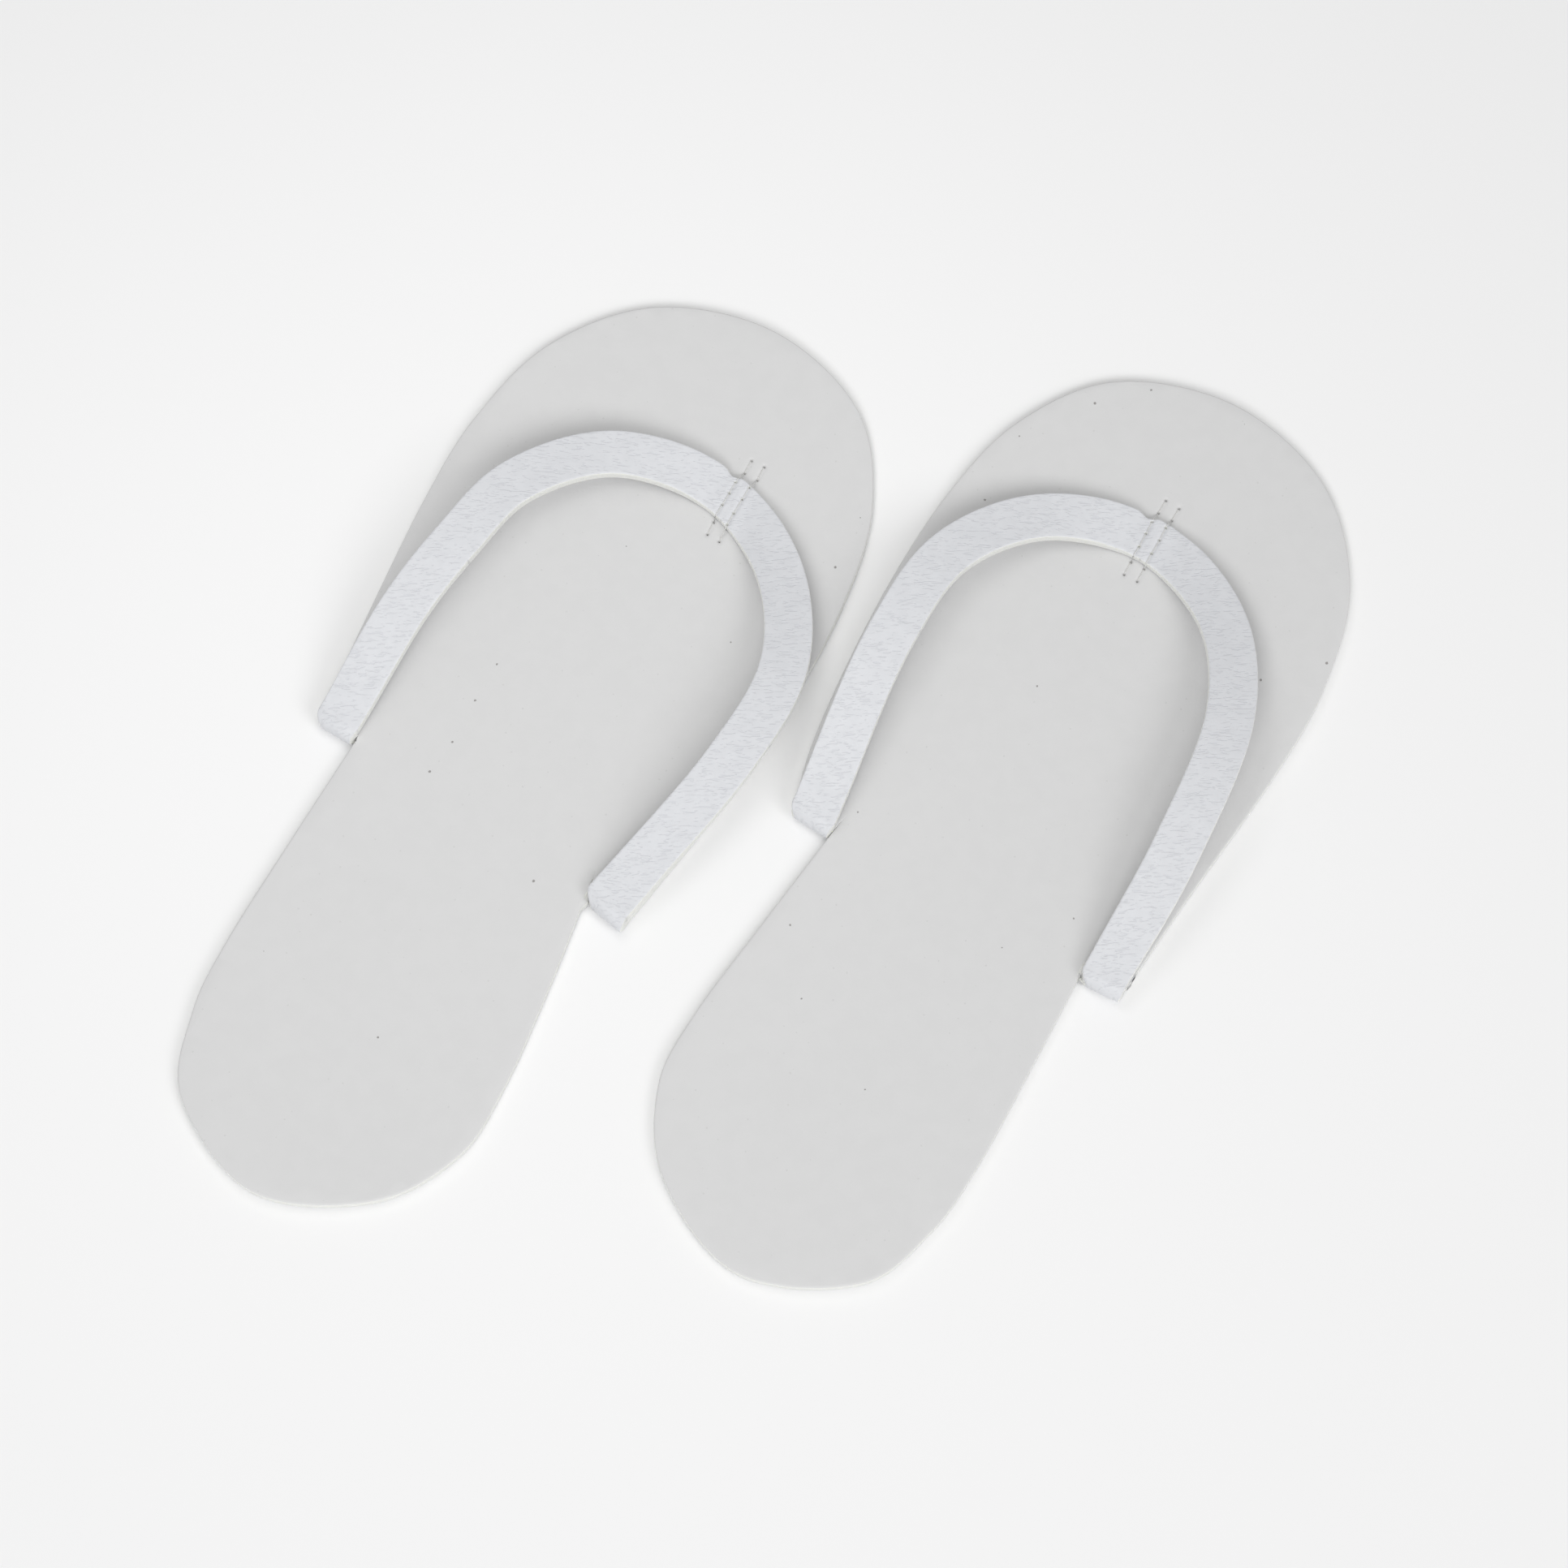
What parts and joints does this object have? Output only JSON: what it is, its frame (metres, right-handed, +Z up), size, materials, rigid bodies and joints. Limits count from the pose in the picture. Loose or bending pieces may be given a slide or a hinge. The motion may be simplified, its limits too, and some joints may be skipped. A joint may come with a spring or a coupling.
{
  "type": "spa slippers",
  "caption": "Pair of disposable foam spa slippers, each a die-cut sheet whose heel band folds forward and is sewn between the toes as a thong strap.",
  "frame": {"origin": "centre of the pair's box on the floor that both soles lie on", "axes": "+Y from the heels to the toes, +X from the left slipper to the right slipper, +Z up"},
  "size_m": [0.2314, 0.308, 0.0189],
  "materials": {
    "foam_footbed": "smooth matt skin of a closed-cell foam sheet",
    "foam_strap": "finely crinkled matt reverse face of a closed-cell foam sheet",
    "thread_white": "thin spun sewing thread"
  },
  "bodies": {
    "left_slipper": {"left_sole": "foam_footbed", "left_outer_fold": "foam_strap", "left_inner_fold": "foam_strap", "left_thong_pad": "foam_strap", "left_outer_needle_thread": "thread_white", "left_inner_needle_thread": "thread_white", "left_outer_bobbin_thread": "thread_white", "left_inner_bobbin_thread": "thread_white"},
    "left_outer_strap": {"left_outer_strap_arm": "foam_strap"},
    "left_inner_strap": {"left_inner_strap_arm": "foam_strap"},
    "right_slipper": {"right_sole": "foam_footbed", "right_outer_fold": "foam_strap", "right_inner_fold": "foam_strap", "right_thong_pad": "foam_strap", "right_outer_needle_thread": "thread_white", "right_inner_needle_thread": "thread_white", "right_outer_bobbin_thread": "thread_white", "right_inner_bobbin_thread": "thread_white"},
    "right_outer_strap": {"right_outer_strap_arm": "foam_strap"},
    "right_inner_strap": {"right_inner_strap_arm": "foam_strap"}
  },
  "joints": [
    {"name": "left_outer_strap_lift", "type": "hinge", "parent": "left_slipper", "child": "left_outer_strap", "pos_m": [-0.0958, -0.0377, 0.0069], "axis": [0.4346, 0.9006, 0], "range_deg": [0, 75], "stiffness_Nm_per_rad": 0.003},
    {"name": "left_inner_strap_lift", "type": "hinge", "parent": "left_slipper", "child": "left_inner_strap", "pos_m": [-0.03765, 0.05575, 0.0069], "axis": [0.1381, -0.9904, 0], "range_deg": [0, 75], "stiffness_Nm_per_rad": 0.003},
    {"name": "right_slipper_pick_up", "type": "slide", "parent": "left_slipper", "child": "right_slipper", "axis": [0, 0, 1], "range_m": [0, 0.15]},
    {"name": "right_outer_strap_lift", "type": "hinge", "parent": "right_slipper", "child": "right_outer_strap", "pos_m": [0.0631, 0.1002, 0.0069], "axis": [0.2986, -0.9544, 0], "range_deg": [0, 75], "stiffness_Nm_per_rad": 0.003},
    {"name": "right_inner_strap_lift", "type": "hinge", "parent": "right_slipper", "child": "right_inner_strap", "pos_m": [0.0233, -0.0008, 0.0069], "axis": [0.2702, 0.9628, 0], "range_deg": [0, 75], "stiffness_Nm_per_rad": 0.003}
  ]
}
